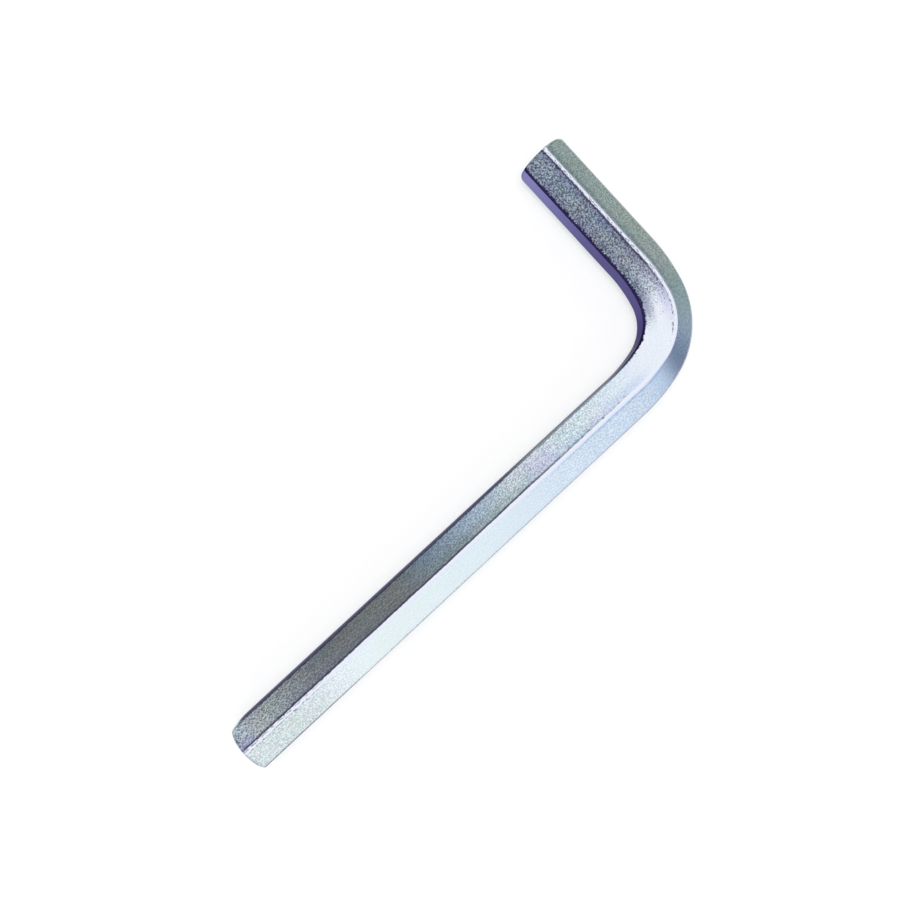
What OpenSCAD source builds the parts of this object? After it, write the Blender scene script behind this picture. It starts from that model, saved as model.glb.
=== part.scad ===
// Hex key: one hexagonal steel bar bent to a right angle.
// The long arm runs along X and the short arm along Y, both lying level.
// Two flats stand upright, on the inside and the outside of the bend, so the bar
// rests on its lower long edge at z = 0. The origin is below the middle of its box.

/* [Hexagon] */
// Width across the flats, the size of the key
across_flats = 5; // [3:0.5:8]
// Radius worn onto the six long edges
edge_radius = 0.3; // [0.1:0.05:0.5]

/* [Arms] */
// Overall length of the long arm, from its end to the outside of the bend
long_arm = 64; // [45:1:160]
// Overall length of the short arm, from its end to the outside of the bend
short_arm = 26.5; // [24:0.5:60]

/* [Bend] */
// Radius of the bar's axis around the bend
bend_radius = 8.5; // [6:0.25:12]

/* [Ends] */
// How far the rounding of an end reaches along the arm at the corners
end_reach = 0.75; // [0.2:0.05:1]
// How far the rounding of an end cuts in from the corners
end_cut = 0.55; // [0.2:0.05:0.8]

/* [Hidden] */

SIDES = 6;
ARC_STEPS = 4;
END_STEPS = 4;
// The turned blank of an end stands this far clear of the long edges
RIM_CLEARANCE = 0.05;
SMOOTH = 96;
QUARTER_TURN = 90;

side_angle = 360 / SIDES;
half_side = side_angle / 2;
// Centres of the edge rounding lie on this circle around the bar's axis
edge_circle = (across_flats / 2 - edge_radius) / cos(half_side);
half_height = edge_circle + edge_radius;
rim_radius = half_height + RIM_CLEARANCE;
bar_color = "#aeb6bd";

// Each arm's end, measured from the crossing of the two arm axes
long_reach = long_arm - across_flats / 2;
short_reach = short_arm - across_flats / 2;

// Points of the hexagon in the order that they are met, with a corner upwards
function rounded_hexagon() = [
    for (corner = [0 : SIDES - 1], step = [0 : ARC_STEPS])
        let (corner_angle = QUARTER_TURN + corner * side_angle)
        let (arc_angle = corner_angle - half_side + step * side_angle / ARC_STEPS)
        edge_circle * [cos(corner_angle), sin(corner_angle)]
            + edge_radius * [cos(arc_angle), sin(arc_angle)]
];

// Outline of a turned blank with a rounded rim at the top, as radius and height
function rounded_blank(length) = concat(
    [[0, 0], [rim_radius, 0]],
    [for (step = [0 : END_STEPS])
        let (angle = step * QUARTER_TURN / END_STEPS)
        [rim_radius - end_cut * (1 - cos(angle)), length - end_reach * (1 - sin(angle))]],
    [[0, length]]
);

// Straight bar that starts at the origin and runs up Z to a rounded end
module straight_bar(length) {
    intersection() {
        linear_extrude(height = length)
            polygon(rounded_hexagon());
        rotate_extrude($fn = SMOOTH)
            polygon(rounded_blank(length));
    }
}

module long_end() {
    translate([-bend_radius, 0, 0])
        rotate([0, -QUARTER_TURN, 0])
            rotate([0, 0, QUARTER_TURN])
                straight_bar(long_reach - bend_radius);
}

module short_end() {
    translate([0, bend_radius, 0])
        rotate([-QUARTER_TURN, 0, 0])
            straight_bar(short_reach - bend_radius);
}

// Quarter turn that carries the long arm's section round to the short arm's
module bend() {
    translate([-bend_radius, bend_radius, 0])
        rotate([0, 0, -QUARTER_TURN])
            rotate_extrude(angle = QUARTER_TURN, $fn = SMOOTH)
                translate([bend_radius, 0])
                    polygon(rounded_hexagon());
}

module hex_key() {
    color(bar_color)
        translate([(long_arm - across_flats) / 2, (across_flats - short_arm) / 2, half_height]) {
            long_end();
            bend();
            short_end();
        }
}

hex_key();
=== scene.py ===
"""Looks of the hex key: one bent hexagonal bar in worn zinc plating, lying on a plain pale floor.

The bar lies level with a corner edge upwards. Its long arm runs along X and its short arm along Y.
Lengths are metres, unless a name or a comment says millimetres.
"""

import logging
import math
from dataclasses import dataclass, field
from enum import Enum

import bpy
import numpy as np
from mathutils import Matrix, Vector


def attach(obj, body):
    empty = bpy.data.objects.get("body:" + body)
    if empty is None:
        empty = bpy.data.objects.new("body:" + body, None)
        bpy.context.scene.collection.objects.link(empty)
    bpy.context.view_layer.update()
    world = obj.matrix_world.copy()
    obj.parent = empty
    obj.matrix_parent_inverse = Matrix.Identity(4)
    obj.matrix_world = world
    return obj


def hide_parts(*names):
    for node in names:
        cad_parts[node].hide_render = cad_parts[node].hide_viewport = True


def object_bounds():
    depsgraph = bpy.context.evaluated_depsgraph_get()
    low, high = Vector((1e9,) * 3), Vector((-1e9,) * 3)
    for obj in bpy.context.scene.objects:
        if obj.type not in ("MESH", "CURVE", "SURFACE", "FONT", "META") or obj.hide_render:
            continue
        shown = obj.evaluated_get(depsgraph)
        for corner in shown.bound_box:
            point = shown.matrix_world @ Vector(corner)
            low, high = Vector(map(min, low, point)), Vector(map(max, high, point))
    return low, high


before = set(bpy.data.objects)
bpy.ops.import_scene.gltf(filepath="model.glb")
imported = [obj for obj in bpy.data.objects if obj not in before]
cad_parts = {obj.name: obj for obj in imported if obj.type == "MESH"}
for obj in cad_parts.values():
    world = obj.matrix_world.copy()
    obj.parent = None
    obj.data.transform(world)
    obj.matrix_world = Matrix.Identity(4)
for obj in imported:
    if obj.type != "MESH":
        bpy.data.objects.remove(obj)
CAD_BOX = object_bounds()

MM = 0.001
UNROLLED_MAP = "bar_unrolled"
BODY = "root"
KEY_NODE = "hex_key"
# Numbers of the colour sockets of a Mix node
MIX_FIRST, MIX_SECOND, MIX_RESULT = 6, 7, 2

log = logging.getLogger("hex_key")

Colour = tuple[float, float, float]
# Two places or levels, where a share is 0 and where it is 1
Fade = tuple[float, float]
# Four places: a share rises from 0 to 1 over the first two and falls back over the last two
Span = tuple[float, float, float, float]
# Middle, half width and width of the soft border of a line along the bar, in mm over the skin
Line = tuple[float, float, float]
Socket = bpy.types.NodeSocket
Number = Socket | float

# Places past the bar's ends, in mm from the long arm's end, and the whole bar
LONG_END: Fade = (-2.0, -1.0)
SHORT_END: Fade = (83.0, 84.0)
WHOLE_BAR: Span = (*LONG_END, *SHORT_END)
# The bar's sides, in mm over the skin from the top edge, positive towards the outside of the bend
INNER: Span = (-2.95, -2.8, -0.3, -0.2)
OUTER: Span = (0.2, 0.3, 2.8, 2.95)
OUTER_UPRIGHT: Span = (2.85, 2.95, 5.7, 5.8)
OUTER_BELOW: Span = (5.7, 5.8, 8.7, 8.8)
INNER_BELOW: Span = (-8.8, -8.7, -5.8, -5.7)
INNER_UPRIGHT: Span = (-5.8, -5.7, -2.95, -2.85)
# Dark violet of the seams on the inner side of the top edge and on the bend's inner edge
SEAM_VIOLET: Colour = (0.03, 0.022, 0.08)


class Corner(Enum):
    """Corner edges of the bar, by their angle in degrees from straight up towards the outside of the bend."""

    BOTTOM = -180.0
    INNER_LOWER = -120.0
    INNER_UPPER = -60.0
    TOP = 0.0
    OUTER_UPPER = 60.0
    OUTER_LOWER = 120.0


@dataclass(frozen=True)
class WornHexagon:
    """Section of the bar: a hexagon with a corner upwards and rounded corners.

    A section point has two coordinates: how far it lies towards the outside of the bend, and how high.
    In the bend the top and bottom corners lean outwards, as on the real bar.
    """

    across_flats: float = 5.0 * MM
    edge_radius: float = 0.3 * MM
    extra_wear: float = 0.35
    wear_lengths: tuple[float, ...] = (3.1 * MM, 7.3 * MM, 17.0 * MM)
    wear_phase: float = 1.7
    lean_outwards: float = 0.52 * MM
    lean_in_height: float = 0.1 * MM
    flat_steps: int = 14
    edge_steps: int = 8

    def worn_radius(self) -> float:
        """Distance from the axis to a rounded corner: (F / 2 - r) / cos(pi / 6) + r."""
        centre = (self.across_flats / 2.0 - self.edge_radius) / math.cos(math.pi / len(Corner))
        return centre + self.edge_radius

    def columns(self) -> dict[str, np.ndarray]:
        """Lists the section's columns from the bottom corner round over the inside, the top and the outside.

        On a corner's arc the turn goes from 0 to 1. On the flat after it the share of the way to the next
        arc goes from 0 to 1 as (1 - cos(pi k / steps)) / 2, so that columns crowd beside the arcs. The ring
        starts and ends in the middle of the bottom corner's arc.

        Returns:
            Arrays first and second (corner numbers), turn and share.
        """
        arc = np.linspace(0.0, 1.0, self.edge_steps + 1)
        flat = (1.0 - np.cos(np.pi * np.arange(1, self.flat_steps) / self.flat_steps)) / 2.0
        first, turn, share = [], [], []
        for number in range(len(Corner) + 1):
            turns, shares = arc, flat
            if number == 0:
                turns = arc[arc >= 0.5]
            if number == len(Corner):
                turns, shares = arc[arc <= 0.5], flat[:0]
            first.append(np.full(turns.size + shares.size, number % len(Corner)))
            turn.append(np.concatenate([turns, np.ones(shares.size)]))
            share.append(np.concatenate([np.zeros(turns.size), shares]))
        corner = np.concatenate(first)
        return {
            "first": corner,
            "second": (corner + 1) % len(Corner),
            "turn": np.concatenate(turn),
            "share": np.concatenate(share),
        }

    def wear(self, along: np.ndarray) -> np.ndarray:
        """Radius of each corner at each station: r (1 + e (1 + m) / 2), for the extra wear e.

        The mean m, from -1 to 1, is taken over the wear lengths L of sin(2 pi s / L + p k (n + 1)), for the
        distance s, the phase p, the number k of the length, from 1, and the number n of the corner, from 0.

        Args:
            along: Distance of each station from the long arm's end.

        Returns:
            Array of stations by corners, in metres.
        """
        corner = np.arange(len(Corner))
        wave = sum(
            np.sin(2.0 * np.pi * along[:, None] / length + self.wear_phase * step * (corner + 1))
            for step, length in enumerate(self.wear_lengths, start=1)
        )
        mean = wave / len(self.wear_lengths)
        return self.edge_radius * (1.0 + self.extra_wear * (1.0 + mean) / 2.0)

    def sharp_corners(self, lean: np.ndarray) -> np.ndarray:
        """Corners before rounding: a regular hexagon's, with the top and bottom ones moved by the lean.

        Args:
            lean: Share of the full lean at each station.

        Returns:
            Array of stations by corners by two.
        """
        angle = np.radians([corner.value for corner in Corner])
        circle = self.across_flats / 2.0 / math.cos(math.pi / len(Corner))
        regular = circle * np.stack([np.sin(angle), np.cos(angle)], axis=-1)
        upwards = np.array([{Corner.TOP: 1.0, Corner.BOTTOM: -1.0}.get(corner, 0.0) for corner in Corner])
        shift = np.stack([np.abs(upwards) * self.lean_outwards, -upwards * self.lean_in_height], axis=-1)
        return regular + lean[:, None, None] * shift

    def points(self, along: np.ndarray, lean: np.ndarray) -> np.ndarray:
        """Section points at each station.

        A corner's arc has its centre at c - r (m + n) / (1 + m n), for the corner c, the radius r and the
        normals m and n of the flats before and after it. Its point is the centre plus r times a normal
        turned from m towards n. A flat's point lies between the ends of its two arcs.

        Args:
            along: Distance of each station from the long arm's end.
            lean: Share of the full lean at each station.

        Returns:
            Array of stations by columns by two.
        """
        column = self.columns()
        corner = self.sharp_corners(lean)
        side = np.roll(corner, -1, axis=1) - corner
        after = np.arctan2(-side[..., 1], side[..., 0])
        before = np.roll(after, 1, axis=1)
        before[:, 0] -= 2.0 * np.pi
        radius = self.wear(along)

        def normal(angle: np.ndarray) -> np.ndarray:
            """Unit vectors at these angles from straight up."""
            return np.stack([np.sin(angle), np.cos(angle)], axis=-1)

        reach = radius / (1.0 + np.cos(after - before))
        centre = corner - reach[..., None] * (normal(before) + normal(after))

        def on_arc(number: np.ndarray, turn: np.ndarray) -> np.ndarray:
            """Points at these turns on the arcs of these corners."""
            angle = before[:, number] + turn * (after - before)[:, number]
            return centre[:, number] + radius[:, number, None] * normal(angle)

        share = column["share"][:, None]
        start = on_arc(column["first"], column["turn"])
        end = on_arc(column["second"], np.zeros_like(column["turn"]))
        return (1.0 - share) * start + share * end

    def unrolled(self) -> np.ndarray:
        """Measures how far each column lies from the top edge, over the straight bar's skin.

        Returns:
            Distances in mm, positive towards the outside of the bend.
        """
        ring = self.points(np.zeros(1), np.zeros(1))[0]
        steps = np.linalg.norm(np.diff(ring, axis=0), axis=1)
        travelled = np.concatenate([[0.0], np.cumsum(steps)])
        return (travelled - travelled[-1] / 2.0) / MM


@dataclass(frozen=True)
class BentAxis:
    """Axis of the bar: a straight long arm, a bend with two easing run-outs, and a straight short arm.

    The two arms' lines cross at a point that is the origin of this class's plane.
    """

    long_reach: float = 61.5 * MM
    short_reach: float = 24.0 * MM
    core_radius: float = 7.2 * MM
    run_out_radius: float = 17.5 * MM
    run_out_deg: float = 15.0
    spacing: float = 0.45 * MM
    end_reach: float = 0.75 * MM
    end_steps: int = 10

    def bend_start(self) -> float:
        """Works out R (1 + sin a - cos a) + r (cos a - sin a), for a run-out's radius R and turn a.

        Returns:
            Distance from the crossing to where the bend starts, for the core's radius r.
        """
        a = math.radians(self.run_out_deg)
        easing = self.run_out_radius * (1.0 + math.sin(a) - math.cos(a))
        return easing + self.core_radius * (math.cos(a) - math.sin(a))

    def stations(self) -> dict[str, np.ndarray]:
        """Places the rings along the axis.

        A straight stretch is p + d t. An arc of radius R from heading h is p + R (sin(h + a) - sin h,
        cos h - cos(h + a)), with a from 0 to its turn. Near an end the rings lie at e (1 - cos f) from it,
        for the reach e and f from 0 to a quarter turn.

        Returns:
            Arrays x, y, heading (radians from +X), along (from the long arm's end) and to_end.
        """
        quarter = np.linspace(0.0, np.pi / 2.0, self.end_steps + 1)
        from_end = self.end_reach * (1.0 - np.cos(quarter))
        long_straight = self.long_reach - self.bend_start()
        short_straight = self.short_reach - self.bend_start()
        core_deg = 90.0 - 2.0 * self.run_out_deg
        x, y, heading, along = [], [], [], []
        place, turned, run = np.array([-self.long_reach, 0.0]), 0.0, 0.0
        stretches = (
            (long_straight, 0.0),
            (self.run_out_radius, self.run_out_deg),
            (self.core_radius, core_deg),
            (self.run_out_radius, self.run_out_deg),
            (short_straight, 0.0),
        )
        for number, (size, turn_deg) in enumerate(stretches):
            turn = math.radians(turn_deg)
            length = size * turn if turn_deg else size
            travel = np.linspace(0.0, length, max(2, int(round(length / self.spacing)) + 1))
            if number == 0:
                travel = np.concatenate([from_end, travel[travel > self.end_reach + self.spacing / 2.0]])
            if number == len(stretches) - 1:
                kept = travel[travel < length - self.end_reach - self.spacing / 2.0]
                travel = np.concatenate([kept, length - from_end[::-1]])
            if turn_deg:
                angle = turned + travel / size
                step_x = size * (np.sin(angle) - math.sin(turned))
                step_y = size * (math.cos(turned) - np.cos(angle))
            else:
                angle = np.full(travel.size, turned)
                step_x = travel * math.cos(turned)
                step_y = travel * math.sin(turned)
            # A later stretch leaves out the station that it shares with the one before
            first = min(number, 1)
            x.append(place[0] + step_x[first:])
            y.append(place[1] + step_y[first:])
            heading.append(angle[first:])
            along.append(run + travel[first:])
            place = place + np.array([step_x[-1], step_y[-1]])
            turned, run = float(angle[-1]), run + length
        result = {
            "x": np.concatenate(x),
            "y": np.concatenate(y),
            "heading": np.concatenate(heading),
            "along": np.concatenate(along),
        }
        result["to_end"] = np.minimum(result["along"], run - result["along"])
        return result


class NodeSheet:
    """Nodes of one material, added and linked by short calls. A socket is passed on as a value is."""

    def __init__(self, material: bpy.types.Material | bpy.types.World) -> None:
        """Clears the material's nodes.

        Args:
            material: The material or the world whose nodes this sheet holds.
        """
        material.use_nodes = True
        self.tree = material.node_tree
        self.tree.nodes.clear()

    def node(self, kind: str, **settings: object) -> bpy.types.Node:
        """Adds a node and sets its properties.

        Args:
            kind: Node type, such as ShaderNodeMath.
            settings: Properties of the node by name.

        Returns:
            The new node.
        """
        made = self.tree.nodes.new(kind)
        for name, value in settings.items():
            setattr(made, name, value)
        return made

    def feed(self, socket: Socket, value: Number | Colour) -> None:
        """Links a socket into an input, or sets the input to a plain value.

        Args:
            socket: The input.
            value: An output socket, a number or a colour.
        """
        if isinstance(value, Socket):
            self.tree.links.new(value, socket)
        elif isinstance(value, tuple) and socket.type == "RGBA":
            socket.default_value = (*value, 1.0)
        else:
            socket.default_value = value

    def math(self, operation: str, *numbers: Number) -> Socket:
        """Adds a Math node.

        Args:
            operation: The node's operation, such as ADD.
            numbers: Its inputs in order.

        Returns:
            The result.
        """
        made = self.node("ShaderNodeMath", operation=operation)
        for socket, number in zip(made.inputs, numbers):
            self.feed(socket, number)
        return made.outputs[0]

    def times(self, first: Number, *others: Number) -> Socket:
        """Multiplies two or more numbers.

        Args:
            first: The first factor.
            others: The other factors.

        Returns:
            The product.
        """
        product = first
        for other in others:
            product = self.math("MULTIPLY", product, other)
        return product

    def between(self, share: Socket, none: float, full: float) -> Socket:
        """Number that goes from none to full as a share goes from 0 to 1."""
        return self.math("MULTIPLY_ADD", share, full - none, none)

    def smooth(self, value: Number, low: float, high: float) -> Socket:
        """Smooth step of a number, which rises from low to high, or falls when low is above high.

        Args:
            value: The number.
            low: Where the step is 0.
            high: Where the step is 1.

        Returns:
            The step, from 0 to 1.
        """
        made = self.node("ShaderNodeMapRange", interpolation_type="SMOOTHSTEP")
        falling = low > high
        self.feed(made.inputs["Value"], value)
        self.feed(made.inputs["From Min"], min(low, high))
        self.feed(made.inputs["From Max"], max(low, high))
        self.feed(made.inputs["To Min"], 1.0 if falling else 0.0)
        self.feed(made.inputs["To Max"], 0.0 if falling else 1.0)
        return made.outputs["Result"]

    def band(self, value: Socket, middle: float, half_width: float, soft: float) -> Socket:
        """1 within half_width of middle, falling to 0 over the distance soft."""
        offset = self.math("ABSOLUTE", self.math("SUBTRACT", value, middle))
        return self.smooth(offset, half_width + soft, half_width)

    def window(self, value: Socket, span: Span) -> Socket:
        """Rises from 0 to 1 between the span's first two places, and falls back between its last two."""
        start, full, fade, end = span
        return self.times(self.smooth(value, start, full), self.smooth(value, end, fade))

    def either(self, value: Socket, fades: tuple[Fade, Fade]) -> Socket:
        """Larger of two smooth steps of a number, such as one for each end of the bar."""
        first, second = fades
        return self.math("MAXIMUM", self.smooth(value, *first), self.smooth(value, *second))

    def noise(
        self,
        vector: Socket,
        size: float,
        detail: float = 2.0,
        offset: float = 0.0,
        stretch: tuple[float, float, float] = (1.0, 1.0, 1.0),
    ) -> Socket:
        """Noise from 0 to 1.

        Args:
            vector: Coordinates.
            size: Size of a patch, in the unit of the coordinates.
            detail: Octaves of finer noise.
            offset: Shift of the pattern along X, which gives another pattern.
            stretch: Factors of the three coordinates. A larger one makes patches narrower that way.

        Returns:
            The noise's value socket.
        """
        place = self.node("ShaderNodeMapping")
        self.feed(place.inputs["Vector"], vector)
        place.inputs["Location"].default_value = (offset, 0.0, 0.0)
        place.inputs["Scale"].default_value = stretch
        made = self.node("ShaderNodeTexNoise")
        self.feed(made.inputs["Vector"], place.outputs["Vector"])
        made.inputs["Scale"].default_value = 1.0 / size
        made.inputs["Detail"].default_value = detail
        return made.outputs["Fac"]

    def mix(
        self, factor: Number, first: Socket | Colour, second: Socket | Colour, blend: str = "MIX"
    ) -> Socket:
        """Blends two colours.

        Args:
            factor: Share of the second colour.
            first: The colour at factor 0.
            second: The colour at factor 1, or what the first is blended with.
            blend: The Mix node's kind of blend.

        Returns:
            The blended colour.
        """
        made = self.node("ShaderNodeMix", data_type="RGBA", blend_type=blend)
        self.feed(made.inputs["Factor"], factor)
        self.feed(made.inputs[MIX_FIRST], first)
        self.feed(made.inputs[MIX_SECOND], second)
        return made.outputs[MIX_RESULT]

    def tint(self, factor: Number, first: Socket | Colour, second: Socket | Colour) -> Socket:
        """First colour at factor 0, and the product of both colours at 1."""
        return self.mix(factor, first, second, "MULTIPLY")


@dataclass(frozen=True)
class Skin:
    """What a material knows about a place on the bar.

    Attributes:
        place: Object coordinates, in metres.
        unrolled: The bar's unrolled map, in mm.
        along: Distance from the long arm's end, in mm.
        across: Distance over the skin from the top edge, in mm, and off all sides on the end faces.
        to_end: Distance from the nearer end, in mm, below 0 on the end faces.
        end_face: 1 on the end faces and 0 elsewhere.
        coarse: Coarse noise from 0 to 1.
        grain: The same noise about 0.
    """

    place: Socket
    unrolled: Socket
    along: Socket
    across: Socket
    to_end: Socket
    end_face: Socket
    coarse: Socket
    grain: Socket


@dataclass(frozen=True)
class Patch:
    """One stretch of the plating: a film's tint, pits or specks, or a painted shade or painted dark
    reflection. Each span fades in over its first two places and out over its last two.

    Places along the bar are distances from the long arm's end, in mm. Places across it are distances over
    the skin from the top edge, in mm, positive outside the bend. Speckle is how far, in mm, the grain
    shifts the patch's borders along the bar.
    """

    name: str
    along: Span
    across: Span
    tint: Colour = (1.0, 1.0, 1.0)
    pits: float = 0.0
    specks: float = 0.0
    speckle: float = 0.0

    def cover(self, sheet: NodeSheet, skin: Skin) -> Socket:
        """Works out how far the patch covers a place.

        Args:
            sheet: The material's nodes.
            skin: The place on the bar.

        Returns:
            The cover, from 0 to 1.
        """
        along = skin.along
        if self.speckle:
            along = sheet.math("ADD", along, sheet.times(skin.grain, self.speckle))
        cover = sheet.times(sheet.window(along, self.along), sheet.window(skin.across, self.across))
        cover.node.label = self.name
        return cover


@dataclass(frozen=True)
class SideEdges:
    """Dark lines on the bar's two upper side edges, and grey rims at its ends. Places are in mm."""

    thin_seam: Colour = (0.10, 0.10, 0.17)
    thin_line: Line = (-2.93, 0.14, 0.08)
    thin_start: Fade = (0.9, 2.0)
    thin_fades_at: Span = (36.0, 41.0, 49.0, 53.0)
    thin_faded: float = 0.55
    wide_seam: Colour = SEAM_VIOLET
    wide_line: Line = (-2.83, 0.12, 0.1)
    wide_at: Span = (52.0, 56.5, *SHORT_END)
    outer_seam: Colour = (0.24, 0.25, 0.33)
    outer_line: Line = (2.88, 0.1, 0.1)
    outer_strong_at: Fade = (15.0, 9.0)
    outer_shares: tuple[float, float] = (0.45, 0.95)
    raggedness: float = 0.55
    rim_shade: Colour = (0.70, 0.72, 0.76)
    rim_fade: Fade = (0.45, 0.05)

    def paint(self, sheet: NodeSheet, skin: Skin, colour: Socket) -> Socket:
        """Draws the lines and shades the rims.

        Args:
            sheet: The material's nodes.
            skin: The place on the bar.
            colour: Colour of the film and its pits.

        Returns:
            The colour with the edges.
        """
        ragged = sheet.math("ADD", skin.across, sheet.times(skin.grain, self.raggedness))
        kept = sheet.between(sheet.window(skin.along, self.thin_fades_at), 1.0, self.thin_faded)
        begun = sheet.smooth(skin.along, *self.thin_start)
        thin = sheet.times(sheet.band(skin.across, *self.thin_line), kept, begun)
        colour = sheet.mix(thin, colour, self.thin_seam)
        wide = sheet.times(sheet.band(ragged, *self.wide_line), sheet.window(skin.along, self.wide_at))
        colour = sheet.mix(wide, colour, self.wide_seam)
        share = sheet.between(sheet.smooth(skin.along, *self.outer_strong_at), *self.outer_shares)
        outer = sheet.times(sheet.band(ragged, *self.outer_line), share)
        colour = sheet.mix(outer, colour, self.outer_seam)
        return sheet.tint(sheet.smooth(skin.to_end, *self.rim_fade), colour, self.rim_shade)


@dataclass(frozen=True)
class RubbedRidge:
    """Top edge rubbed bright, with a dark seam on its inner side and nicks. Places are in mm."""

    rubbed: Colour = (0.84, 0.87, 0.99)
    rubbed_line: Line = (0.0, 0.17, 0.08)
    ragged_size: float = 0.24 * MM
    raggedness: tuple[float, float] = (0.17, 0.38)
    ragged_at: tuple[Fade, Fade] = ((14.0, 9.0), (56.0, 60.0))
    wander: float = -0.06
    wander_at: Span = (6.0, 14.0, 28.0, 38.0)
    seam: Colour = SEAM_VIOLET
    seam_strength: float = 0.78
    seam_across: Span = (-0.52, -0.34, -0.25, -0.13)
    seam_whole_at: tuple[Fade, Fade] = ((51.0, 36.0), (64.0, 67.0))
    dots_before_bend: Span = (40.0, 44.0, 49.0, 52.0)
    dots_past_bend: Fade = (57.5, 59.0)
    dot_levels: Fade = (0.54, 0.6)
    nick: Colour = (0.26, 0.27, 0.35)
    inner_nicks: Line = (-0.08, 0.04, 0.08)
    outer_nicks: Line = (0.28, 0.05, 0.07)
    nicked_at: tuple[Fade, Fade] = ((12.0, 6.0), (62.0, 68.0))
    nick_levels: Fade = (0.5, 0.58)
    streak_length: float = 0.45
    streak_stretch: float = 3.0

    def paint(self, sheet: NodeSheet, skin: Skin, colour: Socket) -> Socket:
        """Rubs the top edge and draws its seam and nicks.

        Args:
            sheet: The material's nodes.
            skin: The place on the bar.
            colour: Colour beside the top edge.

        Returns:
            The colour with the top edge.
        """
        ragged = self.ragged_across(sheet, skin)
        streaks = sheet.noise(skin.unrolled, self.streak_length, 2.0, stretch=(1.0, self.streak_stretch, 1.0))
        dots = sheet.math(
            "MAXIMUM",
            sheet.window(skin.along, self.dots_before_bend),
            sheet.smooth(skin.along, *self.dots_past_bend),
        )
        dotted = sheet.times(dots, sheet.smooth(streaks, *self.dot_levels))
        shown = sheet.math("MAXIMUM", sheet.either(skin.along, self.seam_whole_at), dotted)
        seam = sheet.times(sheet.window(ragged, self.seam_across), shown, self.seam_strength)
        colour = sheet.mix(seam, colour, self.seam)
        colour = sheet.mix(sheet.band(ragged, *self.rubbed_line), colour, self.rubbed)

        long_end, _ = self.nicked_at
        outer = sheet.times(sheet.band(ragged, *self.outer_nicks), sheet.smooth(skin.along, *long_end))
        inner = sheet.times(sheet.band(ragged, *self.inner_nicks), sheet.either(skin.along, self.nicked_at))
        broken = sheet.smooth(streaks, *self.nick_levels)
        return sheet.mix(sheet.times(sheet.math("MAXIMUM", outer, inner), broken), colour, self.nick)

    def ragged_across(self, sheet: NodeSheet, skin: Skin) -> Socket:
        """Distance across the bar, shifted so that the top edge's lines are ragged and wander.

        Args:
            sheet: The material's nodes.
            skin: The place on the bar.

        Returns:
            The shifted distance, in mm.
        """
        noise = sheet.noise(skin.place, self.ragged_size, 3.0, offset=0.9)
        amount = sheet.between(sheet.either(skin.along, self.ragged_at), *self.raggedness)
        ragged = sheet.math("ADD", skin.across, sheet.times(sheet.math("SUBTRACT", noise, 0.5), amount))
        return sheet.math("ADD", ragged, sheet.times(sheet.window(skin.along, self.wander_at), self.wander))


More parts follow.
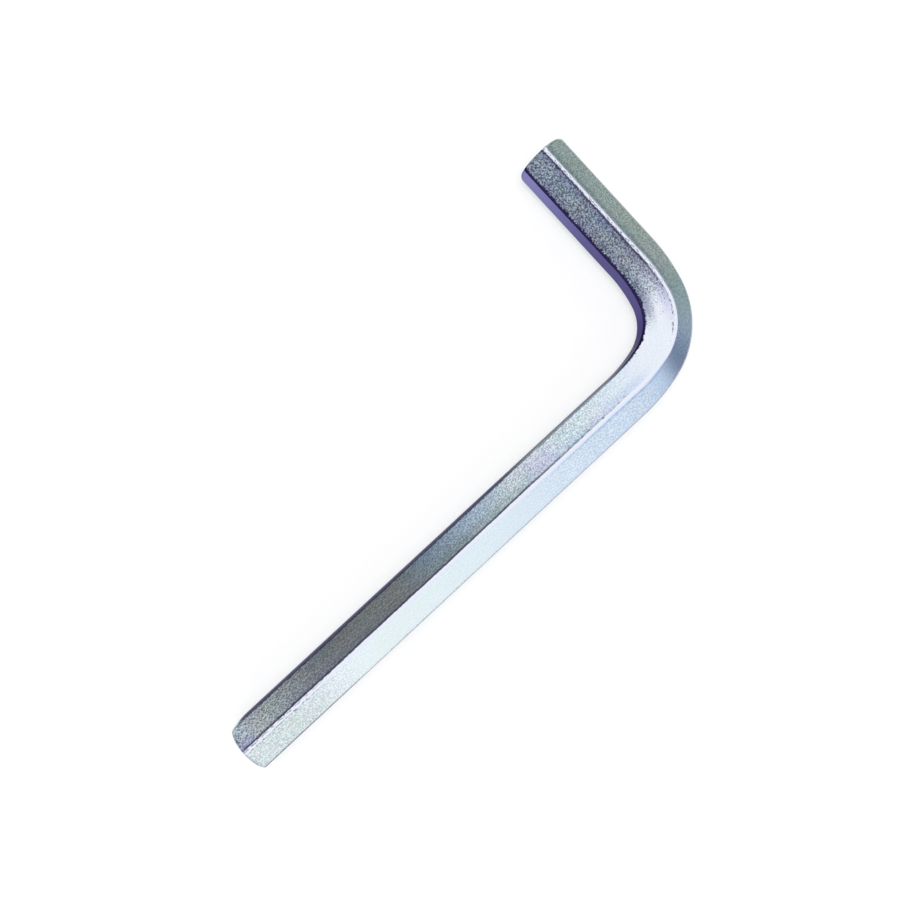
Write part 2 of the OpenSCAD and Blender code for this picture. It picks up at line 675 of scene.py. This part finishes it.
@dataclass(frozen=True)
class ZincPlating:
    """Zinc plating on drawn steel: satin and pitted, tinted by its film, rubbed bright on the top edge, with
    painted shade, painted dark reflections and painted glints.

    Places are given as a Patch gives them. A film's colour multiplies the zinc's, and so does a painted shade
    or dark reflection. Levels are those of a noise from 0 to 1.
    """

    name: str = "zinc_plating"
    zinc: Colour = (0.855, 0.93, 1.0)
    edge_tint: Colour = (0.2, 0.2, 0.26)
    roughness: float = 0.22
    matt_roughness: float = 0.55
    matt_at: Fade = (42.0, 28.0)

    green_film: Colour = (0.94, 1.0, 0.95)
    blue_film: Colour = (0.93, 0.96, 1.0)
    warm_film: Colour = (1.0, 0.96, 0.93)
    film_size: float = 3.5 * MM
    film_levels: Fade = (0.45, 0.65)
    film_clear_of: Span = (44.0, 54.0, 61.0, 68.0)
    film_shares: tuple[float, float] = (0.25, 1.0)
    mottle_size: float = 0.8 * MM
    mottle_share: float = 0.7
    mottled_at: tuple[Fade, Fade] = ((14.0, 5.0), (58.0, 66.0))
    # Violet of the inner upright flat: partly a real film, partly a painted dark reflection of the shadowed
    # floor beside the bar
    violet_film_and_dark_reflection: Colour = (0.50, 0.49, 0.86)
    violet_start: Fade = (0.7, 1.8)

    pit: Colour = (0.18, 0.18, 0.245)
    # Painted highlight: glints on the grain, brighter than the zinc
    glint: Colour = (1.35, 1.36, 1.34)
    coarse_size: float = 0.18 * MM
    speck_size: float = 0.2 * MM
    pit_levels: Fade = (0.58, 0.36)
    glint_levels: Fade = (0.54, 0.68)
    speck_levels: Fade = (0.62, 0.68)
    bare_pits: float = 0.05
    end_face_pits: float = 0.25

    relief: float = 0.042 * MM
    fine_size: float = 0.08 * MM
    fine_share: float = 0.04
    pits_without_relief: float = 0.16
    least_coarse_share: float = 0.03

    # On the unrolled map the end faces lie past the bar's ends, and a shift takes them off all its sides
    whole_length: float = 81.8
    end_face_at: float = -0.03
    shift_off_sides: float = 40.0

    edges: SideEdges = SideEdges()
    ridge: RubbedRidge = RubbedRidge()
    # Patches tint the film, or paint shade and dark reflections where their comments say so
    patches: tuple[Patch, ...] = (
        Patch("pits of the long end", (*LONG_END, 4.0, 15.0), INNER, pits=0.24),
        Patch("pits of the long arm", (*LONG_END, 44.0, 56.0), INNER, pits=0.28),
        Patch("pits towards the bend", (20.0, 30.0, 42.0, 53.0), INNER, pits=0.1),
        Patch("pits of the short arm", (60.5, 66.5, *SHORT_END), INNER, pits=0.8),
        Patch("pits of the long end outside", (*LONG_END, 6.0, 16.0), OUTER, pits=0.26),
        Patch("pits beside the bend outside", (34.0, 46.0, 52.0, 56.0), OUTER, pits=0.18),
        Patch("pits of the short arm outside", (55.0, 66.0, *SHORT_END), OUTER, pits=0.36),
        Patch("pits of the upright outside", WHOLE_BAR, OUTER_UPRIGHT, pits=0.1),
        Patch("pits underneath outside", WHOLE_BAR, OUTER_BELOW, pits=0.2),
        Patch("pits underneath inside", WHOLE_BAR, INNER_BELOW, pits=0.2),
        Patch("specks of the long end outside", (0.5, 3.0, 10.0, 15.0), OUTER, specks=0.3),
        Patch("specks where the bend darkens", (59.0, 63.5, 67.0, 71.0), INNER, specks=1.0),
        # Painted dark reflection: darkens the long arm's inner slope, which faces dark surroundings
        Patch("painted dark reflection on the long arm's inner slope", (-3.0, 12.5, 21.5, 38.5), INNER, (0.42, 0.435, 0.435)),
        Patch("brown of the long arm", (12.0, 15.0, 22.0, 25.0), INNER, (0.98, 0.94, 0.90)),
        Patch(
            "blue by the inner edge", (21.0, 26.0, 31.0, 39.0), (-2.95, -2.8, -1.8, -0.5), (0.80, 0.93, 1.06)
        ),
        Patch("shade by the top edge", (2.0, 12.0, 52.0, 55.0), (-1.4, -0.7, -0.3, -0.2), (0.86, 0.87, 0.94)),
        # Painted shade beside the top edge, with a green cast
        Patch(
            "painted green shade by the top edge", (24.0, 28.0, 35.0, 40.0), (-1.7, -0.9, -0.3, -0.2), (0.81, 0.87, 0.83)
        ),
        Patch("blue white before the bend", (41.0, 44.0, 52.0, 55.0), INNER, (0.93, 0.965, 1.0)),
        Patch("violet spot", (37.0, 39.0, 40.5, 43.5), (-2.7, -1.9, -1.0, -0.4), (0.87, 0.85, 0.96)),
        # Painted shade at the end's top corner, with a violet cast
        Patch("painted violet shade at the end corner", (-1.0, 0.3, 1.2, 2.4), (-1.4, -0.9, -0.3, -0.2), (0.84, 0.80, 0.98)),
        Patch("lavender of the bend", (47.0, 56.0, 61.0, 66.0), INNER, (1.0, 0.975, 1.0)),
        # Painted dark reflection: darkens the short arm's inner slope
        Patch("painted dark reflection on the short arm's inner slope", (63.5, 69.0, *SHORT_END), INNER, (0.60, 0.63, 0.68), speckle=9.0),
        # Painted shade along the inner edge through the bend
        Patch(
            "painted deep shade by the inner edge",
            (58.5, 62.0, 65.0, 69.0),
            (-3.0, -2.9, -2.4, -1.5),
            (0.47, 0.49, 0.57),
            speckle=6.0,
        ),
        # Painted shade by the inner edge of the short arm, with a violet cast
        Patch(
            "painted violet shade by the inner edge", (66.0, 71.0, *SHORT_END), (-3.0, -2.9, -2.2, -1.4), (0.82, 0.78, 0.86)
        ),
        # Painted shade beside the top edge of the short arm, with a violet cast
        Patch(
            "painted violet shade by the top edge",
            (58.5, 63.0, *SHORT_END),
            (-1.4, -0.6, -0.3, -0.2),
            (0.79, 0.77, 0.90),
            speckle=6.0,
        ),
        # Darker towards the long end on the outer slope
        Patch("darker long end outside", (*LONG_END, 6.0, 14.0), OUTER, (0.89, 0.91, 0.87)),
        Patch("pale green of the long arm", (10.0, 15.0, 29.0, 37.0), OUTER, (0.975, 1.0, 0.96)),
        # Painted shade: a thin blue-grey darkening beside the top edge on the outer slope
        Patch(
            "painted shade line beside the top edge", (36.0, 50.0, 54.0, 56.0), (0.26, 0.36, 0.46, 0.62), (0.74, 0.78, 0.90)
        ),
        # Painted dark reflections on the outer slope where it turns through the bend
        Patch("painted dark reflection before the bend outside", (48.0, 51.0, 54.0, 55.5), OUTER, (0.97, 0.965, 0.97)),
        Patch(
            "painted slate reflection where the bend starts", (54.9, 55.7, 57.0, 59.0), OUTER, (0.88, 0.83, 0.85), speckle=5.0
        ),
        Patch("painted slate reflection of the bend outside", (59.0, 61.5, 63.0, 66.0), OUTER, (0.77, 0.85, 0.82)),
        Patch("brown past the bend outside", (63.0, 65.0, 66.5, 69.5), OUTER, (1.0, 0.97, 0.98)),
        Patch("olive of the short arm", (61.5, 66.0, *SHORT_END), OUTER, (1.0, 0.985, 0.86)),
        # Painted shade: a blue-grey band beside the top edge on the short arm's outer slope
        Patch(
            "painted slate shade beside the top edge", (57.0, 69.0, *SHORT_END), (0.18, 0.24, 0.42, 1.1), (0.70, 0.72, 0.82)
        ),
        Patch("dull short end", (74.0, 78.0, *SHORT_END), OUTER, (0.95, 0.96, 0.97)),
        # Painted dark reflections of the shadowed floor on the inner upright flat, the second partly violet
        # film
        Patch("painted dark reflection on the long arm's upright flat", (0.3, 1.4, 52.0, 57.0), INNER_UPRIGHT, (0.46, 0.46, 0.35)),
        Patch("painted deep violet reflection on the upright flat", (52.0, 57.0, 69.0, 84.0), INNER_UPRIGHT, (0.56, 0.52, 0.55)),
    )

    def material(self) -> bpy.types.Material:
        """Builds the finish on Object coordinates and on the bar's unrolled map.

        Returns:
            The material.
        """
        made = bpy.data.materials.new(self.name)
        sheet = NodeSheet(made)
        skin = self.skin(sheet)
        colour, pits, specks = self.patched(sheet, skin)
        colour = self.pitted(sheet, skin, colour, pits, specks)
        colour = self.edges.paint(sheet, skin, colour)
        colour = self.ridge.paint(sheet, skin, colour)

        shader = sheet.node("ShaderNodeBsdfPrincipled")
        shader.inputs["Metallic"].default_value = 1.0
        shader.inputs["Specular Tint"].default_value = (*self.edge_tint, 1.0)
        matt = sheet.times(sheet.window(skin.across, INNER_UPRIGHT), sheet.smooth(skin.along, *self.matt_at))
        sheet.feed(shader.inputs["Roughness"], sheet.between(matt, self.roughness, self.matt_roughness))
        sheet.feed(shader.inputs["Base Color"], colour)
        sheet.feed(shader.inputs["Normal"], self.uneven(sheet, skin, pits))
        out = sheet.node("ShaderNodeOutputMaterial")
        sheet.feed(out.inputs["Surface"], shader.outputs["BSDF"])
        return made

    def skin(self, sheet: NodeSheet) -> Skin:
        """Reads the coordinates of a place on the bar.

        Args:
            sheet: The material's nodes.

        Returns:
            The place on the bar.
        """
        place = sheet.node("ShaderNodeTexCoord").outputs["Object"]
        unrolled = sheet.node("ShaderNodeUVMap", uv_map=UNROLLED_MAP).outputs["UV"]
        parts = sheet.node("ShaderNodeSeparateXYZ")
        sheet.feed(parts.inputs[0], unrolled)
        along = parts.outputs[0]
        to_end = sheet.math("MINIMUM", along, sheet.math("SUBTRACT", self.whole_length, along))
        end_face = sheet.math("LESS_THAN", to_end, self.end_face_at)
        across = sheet.math("ADD", parts.outputs[1], sheet.times(end_face, self.shift_off_sides))
        coarse = sheet.noise(place, self.coarse_size, 2.0)
        grain = sheet.math("SUBTRACT", coarse, 0.5)
        return Skin(place, unrolled, along, across, to_end, end_face, coarse, grain)

    def patched(self, sheet: NodeSheet, skin: Skin) -> tuple[Socket, Socket, Number]:
        """Lays the film, the patches and the painted shade and dark reflections over the zinc.

        Args:
            sheet: The material's nodes.
            skin: The place on the bar.

        Returns:
            The colour, the depth of the pits and the share of the specks.
        """
        # Violet on the inner upright flat, partly film and partly a painted dark reflection of the shadowed
        # floor
        begun = sheet.smooth(skin.along, *self.violet_start)
        violet_and_dark_reflection = sheet.times(sheet.window(skin.across, INNER_UPRIGHT), begun)
        colour = sheet.mix(violet_and_dark_reflection, self.drifts(sheet, skin), self.violet_film_and_dark_reflection)
        pits = sheet.between(skin.end_face, self.bare_pits, self.end_face_pits)
        specks = 0.0
        for patch in self.patches:
            cover = patch.cover(sheet, skin)
            if patch.pits:
                pits = sheet.math("ADD", pits, sheet.times(cover, patch.pits))
            elif patch.specks:
                specks = sheet.math("ADD", specks, sheet.times(cover, patch.specks))
            else:
                # A film's tint, or a painted shade or painted dark reflection
                colour = sheet.tint(cover, colour, patch.tint)
        return colour, pits, specks

    def drifts(self, sheet: NodeSheet, skin: Skin) -> Socket:
        """Colour of the bare plating, whose film drifts slowly, most on the inner slope and not in the bend.

        Args:
            sheet: The material's nodes.
            skin: The place on the bar.

        Returns:
            The colour.
        """
        near_ends = sheet.either(skin.along, self.mottled_at)
        mottled = sheet.times(sheet.window(skin.across, OUTER), near_ends, self.mottle_share)
        outside_bend = sheet.math("SUBTRACT", 1.0, sheet.window(skin.along, self.film_clear_of))
        drifting = sheet.times(sheet.window(skin.across, INNER), outside_bend)
        strength = sheet.between(drifting, *self.film_shares)
        colour = self.zinc
        for film, offset in ((self.green_film, 0.1), (self.blue_film, 0.7), (self.warm_film, 1.3)):
            for size, amount in ((self.film_size, strength), (self.mottle_size, mottled)):
                noise = sheet.noise(skin.place, size, 1.0, offset=offset)
                here = sheet.smooth(noise, *self.film_levels)
                colour = sheet.tint(sheet.times(here, amount), colour, film)
        return colour

    def pitted(self, sheet: NodeSheet, skin: Skin, colour: Socket, pits: Socket, specks: Number) -> Socket:
        """Darkens the pits and the specks, and paints glints, a painted highlight, where the grain stands
        highest between them.

        Args:
            sheet: The material's nodes.
            skin: The place on the bar.
            colour: Colour of the film and the patches.
            pits: Depth of the pits.
            specks: Share of the specks.

        Returns:
            The colour with its pits.
        """
        holes = sheet.times(sheet.smooth(skin.coarse, *self.pit_levels), pits)
        speck_noise = sheet.noise(skin.place, self.speck_size, 1.0, offset=2.7)
        specked = sheet.times(sheet.smooth(speck_noise, *self.speck_levels), specks)
        colour = sheet.tint(sheet.math("MAXIMUM", holes, specked), colour, self.pit)
        # Painted highlight: glints where the grain stands highest
        glints = sheet.times(sheet.smooth(skin.coarse, *self.glint_levels), pits)
        return sheet.tint(glints, colour, self.glint)

    def uneven(self, sheet: NodeSheet, skin: Skin, pits: Socket) -> Socket:
        """Normal of the plating's relief, whose height is c max(p - p0, c0) + f0 f.

        Args:
            sheet: The material's nodes.
            skin: The place on the bar, with its coarse noise c. Here f is the fine noise.
            pits: Depth p of the pits. The formula's other letters are this finish's named values.

        Returns:
            The normal.
        """
        fine = sheet.noise(skin.place, self.fine_size, 1.0, offset=0.3)
        past = sheet.math("SUBTRACT", pits, self.pits_without_relief)
        rough = sheet.math("MAXIMUM", past, self.least_coarse_share)
        height = sheet.math("ADD", sheet.times(skin.coarse, rough), sheet.times(fine, self.fine_share))
        bump = sheet.node("ShaderNodeBump")
        bump.inputs["Strength"].default_value = 1.0
        bump.inputs["Distance"].default_value = self.relief
        sheet.feed(bump.inputs["Height"], height)
        return bump.outputs["Normal"]


@dataclass
class KeyBar:
    """The bar itself: the worn hexagon carried along the bent axis, with rounded ends.

    The knock's middle and half width are in mm over the skin, as on the unrolled map. The cap shares are
    the sizes of the rings on an end face, as shares of its outline.
    """

    section: WornHexagon = field(default_factory=WornHexagon)
    axis: BentAxis = field(default_factory=BentAxis)
    finish: ZincPlating = field(default_factory=ZincPlating)
    end_cut: float = 0.55 * MM
    rim_clearance: float = 0.05 * MM
    knock_depth: float = 0.4 * MM
    knock_reach: float = 1.6 * MM
    knock_middle: float = -4.3
    knock_half_width: float = 2.0
    cap_shares: tuple[float, ...] = (0.97, 0.85, 0.6, 0.3)

    def end_limit(self, to_end: np.ndarray) -> np.ndarray:
        """Largest radius of the rounded end: R - c (1 - sqrt(1 - (1 - d / l)^2)) at the distance d.

        R is a worn corner's distance from the axis plus the rim's clearance, c the cut and l the reach.
        Past the reach the limit is twice a corner's distance, which limits nothing.

        Args:
            to_end: Distance of each station from the nearer end.

        Returns:
            The limit at each station.
        """
        corner = self.section.worn_radius()
        inward = np.clip(1.0 - to_end / self.axis.end_reach, 0.0, 1.0)
        drop = self.end_cut * (1.0 - np.sqrt(1.0 - inward**2))
        return np.where(inward > 0.0, corner + self.rim_clearance - drop, 2.0 * corner)

    def knock(self, along: np.ndarray) -> np.ndarray:
        """Depth d (1 - s / l)^2 exp(-(v / w)^2) of the wear on the inner side of the long end.

        Here v is measured over the skin from the middle of the worn side.

        Args:
            along: Distance s of each station from the long end.

        Returns:
            Depths, as stations by columns.
        """
        fade = np.clip(1.0 - along / self.knock_reach, 0.0, 1.0) ** 2
        beside = (self.section.unrolled() - self.knock_middle) / self.knock_half_width
        return self.knock_depth * fade[:, None] * np.exp(-(beside**2))[None, :]

    def crossing(self) -> tuple[float, float]:
        """Where the arms' axes cross: half the bar's width in from the box's outer sides."""
        half_width = self.section.across_flats / 2.0
        return CAD_BOX[1].x - half_width, CAD_BOX[0].y + half_width

    def surface(self) -> tuple[np.ndarray, np.ndarray]:
        """Works out the bar's skin as one grid of rings.

        A ring's point is p + a m + (z + z0) k, for the axis point p, the outward direction m, straight up k
        and the section point (a, z), which the end's rounding and the knock draw in towards the axis. The
        section leans by sin(2 h) of its full lean, for the heading h. On the map an end face goes on past
        the bar's end.

        Returns:
            Points as rings by columns by three, and the unrolled map as rings by columns by two, in mm.
        """
        station = self.axis.stations()
        lean = np.sin(2.0 * station["heading"])
        ring = self.section.points(station["along"], lean)
        radius = np.linalg.norm(ring, axis=-1)
        limit = self.end_limit(station["to_end"])[:, None]
        ring = ring * (np.minimum(1.0, limit / radius) - self.knock(station["along"]) / radius)[..., None]
        first = ring[:1] * np.array(self.cap_shares[::-1])[:, None, None]
        last = ring[-1:] * np.array(self.cap_shares)[:, None, None]
        ring = np.concatenate([first, ring, last])
        caps = len(self.cap_shares)
        keys = ("x", "y", "heading", "along")
        x, y, heading, along = (np.pad(station[key], caps, mode="edge") for key in keys)
        inward = self.section.across_flats / 2.0 * (1.0 - np.array(self.cap_shares))
        along[:caps] -= inward[::-1]
        along[-caps:] += inward
        crossing_x, crossing_y = self.crossing()
        height = CAD_BOX[1].z / 2.0
        points = np.stack(
            [
                crossing_x + x[:, None] + np.sin(heading)[:, None] * ring[..., 0],
                crossing_y + y[:, None] - np.cos(heading)[:, None] * ring[..., 0],
                height + ring[..., 1],
            ],
            axis=-1,
        )
        across = self.section.unrolled()
        return points, np.stack(np.broadcast_arrays(along[:, None] / MM, across[None, :]), axis=-1)

    def build(self) -> bpy.types.Object:
        """Puts the skin into a mesh. The first and last column meet along the bottom edge and share vertices.

        Returns:
            The bar's object, at the origin.
        """
        points, unrolled = self.surface()
        rings, columns = points.shape[:2]
        around = columns - 1
        poles = np.stack([points[0, :around].mean(axis=0), points[-1, :around].mean(axis=0)])
        vertices = np.concatenate([points[:, :around].reshape(-1, 3), poles])
        ring, column = np.meshgrid(np.arange(rings - 1), np.arange(around), indexing="ij")
        beside = (column + 1) % around
        quads = np.stack(
            [
                ring * around + column,
                (ring + 1) * around + column,
                (ring + 1) * around + beside,
                ring * around + beside,
            ],
            axis=-1,
        ).reshape(-1, 4)
        column = np.arange(around)
        beside = (column + 1) % around
        start = np.stack([np.full(around, rings * around), column, beside], axis=-1)
        last_ring = (rings - 1) * around
        end = np.stack([np.full(around, rings * around + 1), last_ring + beside, last_ring + column], axis=-1)

        mesh = bpy.data.meshes.new("worn_bar")
        faces = quads.tolist() + start.tolist() + end.tolist()
        mesh.from_pydata(vertices.tolist(), [], faces)
        corner_map = [
            np.stack(
                [unrolled[:-1, :-1], unrolled[1:, :-1], unrolled[1:, 1:], unrolled[:-1, 1:]], axis=2
            ).reshape(-1, 2),
            np.stack([unrolled[0, :-1], unrolled[0, :-1], unrolled[0, 1:]], axis=1).reshape(-1, 2),
            np.stack([unrolled[-1, :-1], unrolled[-1, 1:], unrolled[-1, :-1]], axis=1).reshape(-1, 2),
        ]
        layer = mesh.uv_layers.new(name=UNROLLED_MAP)
        layer.uv.foreach_set("vector", np.concatenate(corner_map).astype(np.float32).ravel())
        mesh.polygons.foreach_set("use_smooth", np.ones(len(faces), dtype=bool))
        mesh.update()
        bar = bpy.data.objects.new("worn_bar", mesh)
        bpy.context.scene.collection.objects.link(bar)
        return bar

    def dress(self, bar: bpy.types.Object) -> None:
        """Gives the bar its finish, and lets it ride in place of the solid.

        Args:
            bar: The object from build.
        """
        bar.data.materials.append(self.finish.material())
        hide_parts(KEY_NODE)
        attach(bar, BODY)


@dataclass(frozen=True)
class GreyFlag:
    """A soft grey patch of the surround, which only the steel mirrors. Angles are in degrees."""

    azimuth: float
    elevation: float
    radius: float
    softness: float
    shade: Colour

    def direction(self) -> tuple[float, float, float]:
        """Unit vector from the key to the middle of the flag."""
        across, up = math.radians(self.azimuth), math.radians(self.elevation)
        return (math.cos(up) * math.cos(across), math.cos(up) * math.sin(across), math.sin(up))


@dataclass
class Studio:
    """Plain pale floor, white surround with grey flags that the steel mirrors, soft lamp and camera."""

    floor_half_size: float = 3.0
    floor_albedo: float = 0.55
    floor_glow: float = 0.45
    world_fill: float = 0.5
    aim: tuple[float, float, float] = (0.0, 0.0, 3.0 * MM)
    lamp_place: tuple[float, float, float] = (-0.02, 0.02, 0.6)
    lamp_size: float = 0.35
    lamp_watts: float = 2.2
    flags: tuple[GreyFlag, ...] = (
        GreyFlag(99.0, 18.5, 15.5, 3.0, (0.08, 0.08, 0.08)),
        GreyFlag(98.5, 6.5, 26.5, 3.5, (0.1, 0.17, 0.3)),
        GreyFlag(174.0, 44.0, 10.0, 4.0, (0.2, 0.23, 0.29)),
        GreyFlag(-19.7, -3.0, 46.0, 2.5, (0.34, 0.40, 0.41)),
        GreyFlag(-44.0, 10.0, 15.0, 12.0, (0.75, 0.80, 0.97)),
        GreyFlag(-64.3, 5.0, 20.4, 17.4, (0.67, 0.77, 0.92)),
    )
    camera_place: tuple[float, float, float] = (-2.9 * MM, -2.77 * MM, 93.3 * MM)
    camera_aim: tuple[float, float, float] = (2.43 * MM, -2.65 * MM, 2.84 * MM)
    camera_turn_deg: float = -42.49
    lens_mm: float = 36.0
    sensor_mm: float = 36.0
    camera_clip: tuple[float, float] = (5.0 * MM, 10.0)

    def seen(self, sheet: NodeSheet) -> Socket:
        """Tells what the camera sees, straight, mirrored or through glass, from light on a surface.

        Args:
            sheet: Nodes of the floor or of the surround.

        Returns:
            1 for what is seen, and 0 for light.
        """
        path = sheet.node("ShaderNodeLightPath")
        mirrored = sheet.math("MAXIMUM", path.outputs["Is Glossy Ray"], path.outputs["Is Transmission Ray"])
        return sheet.math("MAXIMUM", path.outputs["Is Camera Ray"], mirrored)

    def floor_material(self) -> bpy.types.Material:
        """White matte floor with a glow that the camera and the steel see and that lights nothing.

        Returns:
            The material.
        """
        made = bpy.data.materials.new("floor_white")
        sheet = NodeSheet(made)
        light = sheet.node("ShaderNodeEmission")
        sheet.feed(light.inputs["Strength"], sheet.times(self.seen(sheet), self.floor_glow))
        matte = sheet.node("ShaderNodeBsdfDiffuse")
        sheet.feed(matte.inputs["Color"], (self.floor_albedo,) * 3)
        both = sheet.node("ShaderNodeAddShader")
        sheet.feed(both.inputs[0], matte.outputs[0])
        sheet.feed(both.inputs[1], light.outputs[0])
        out = sheet.node("ShaderNodeOutputMaterial")
        sheet.feed(out.inputs["Surface"], both.outputs[0])
        return made

    def build_floor(self) -> None:
        """Lays the floor at the height that the key rests on."""
        half = self.floor_half_size
        mesh = bpy.data.meshes.new("floor")
        corners = [(-half, -half, 0.0), (half, -half, 0.0), (half, half, 0.0), (-half, half, 0.0)]
        mesh.from_pydata(corners, [], [(0, 1, 2, 3)])
        floor = bpy.data.objects.new("floor", mesh)
        bpy.context.scene.collection.objects.link(floor)
        mesh.materials.append(self.floor_material())

    def build_world(self) -> None:
        """Surrounds all with white for the camera, grey flags for the steel and a fill for the floor."""
        world = bpy.data.worlds.new("surround")
        bpy.context.scene.world = world
        sheet = NodeSheet(world)
        way = sheet.node("ShaderNodeTexCoord").outputs["Generated"]
        flagged = (1.0, 1.0, 1.0)
        for flag in self.flags:
            facing = sheet.node("ShaderNodeVectorMath", operation="DOT_PRODUCT")
            sheet.feed(facing.inputs[0], way)
            facing.inputs[1].default_value = flag.direction()
            outside = math.cos(math.radians(flag.radius + flag.softness))
            inside = math.cos(math.radians(max(flag.radius - flag.softness, 0.0)))
            cover = sheet.smooth(facing.outputs["Value"], outside, inside)
            flagged = sheet.tint(cover, flagged, flag.shade)
        path = sheet.node("ShaderNodeLightPath")
        colour = sheet.mix(path.outputs["Is Glossy Ray"], (1.0, 1.0, 1.0), flagged)
        light = sheet.node("ShaderNodeBackground")
        sheet.feed(light.inputs["Color"], colour)
        sheet.feed(light.inputs["Strength"], sheet.between(self.seen(sheet), self.world_fill, 1.0))
        out = sheet.node("ShaderNodeOutputWorld")
        sheet.feed(out.inputs["Surface"], light.outputs[0])

    def build_lamp(self) -> None:
        """Hangs one large soft lamp above the key. The steel mirrors the surround instead of it."""
        light = bpy.data.lights.new("soft_lamp", "AREA")
        light.shape = "SQUARE"
        light.size = self.lamp_size
        light.energy = self.lamp_watts
        lamp = bpy.data.objects.new("soft_lamp", light)
        bpy.context.scene.collection.objects.link(lamp)
        lamp.visible_glossy = False
        lamp.location = self.lamp_place
        toward = Vector(self.aim) - lamp.location
        lamp.rotation_euler = toward.to_track_quat("-Z", "Y").to_euler()

    def build_camera(self) -> None:
        """Hangs the camera above the key, turned so that the long arm rises to the right."""
        place, aim = Vector(self.camera_place), Vector(self.camera_aim)
        back = (place - aim).normalized()
        turn = math.radians(self.camera_turn_deg)
        across = Vector((math.cos(turn), math.sin(turn), 0.0))
        right = (across - across.dot(back) * back).normalized()
        up = back.cross(right)
        data = bpy.data.cameras.new("camera")
        data.lens = self.lens_mm
        data.sensor_width = self.sensor_mm
        data.clip_start, data.clip_end = self.camera_clip
        camera = bpy.data.objects.new("camera", data)
        bpy.context.scene.collection.objects.link(camera)
        rotation = Matrix((right, up, back)).transposed().to_4x4()
        camera.matrix_world = Matrix.Translation(place) @ rotation
        bpy.context.scene.camera = camera


def main() -> None:
    """Builds the bar, the studio and the camera, and reports each piece."""
    logging.basicConfig(level=logging.INFO, format="%(name)s: %(message)s")
    bpy.context.scene.view_settings.view_transform = "Standard"
    key = KeyBar()
    bar = key.build()
    key.dress(bar)
    log.info("%s: %d faces", bar.name, len(bar.data.polygons))
    studio = Studio()
    studio.build_floor()
    studio.build_world()
    studio.build_lamp()
    studio.build_camera()
    log.info("studio: %d grey flags", len(studio.flags))


if __name__ == "__main__":
    main()
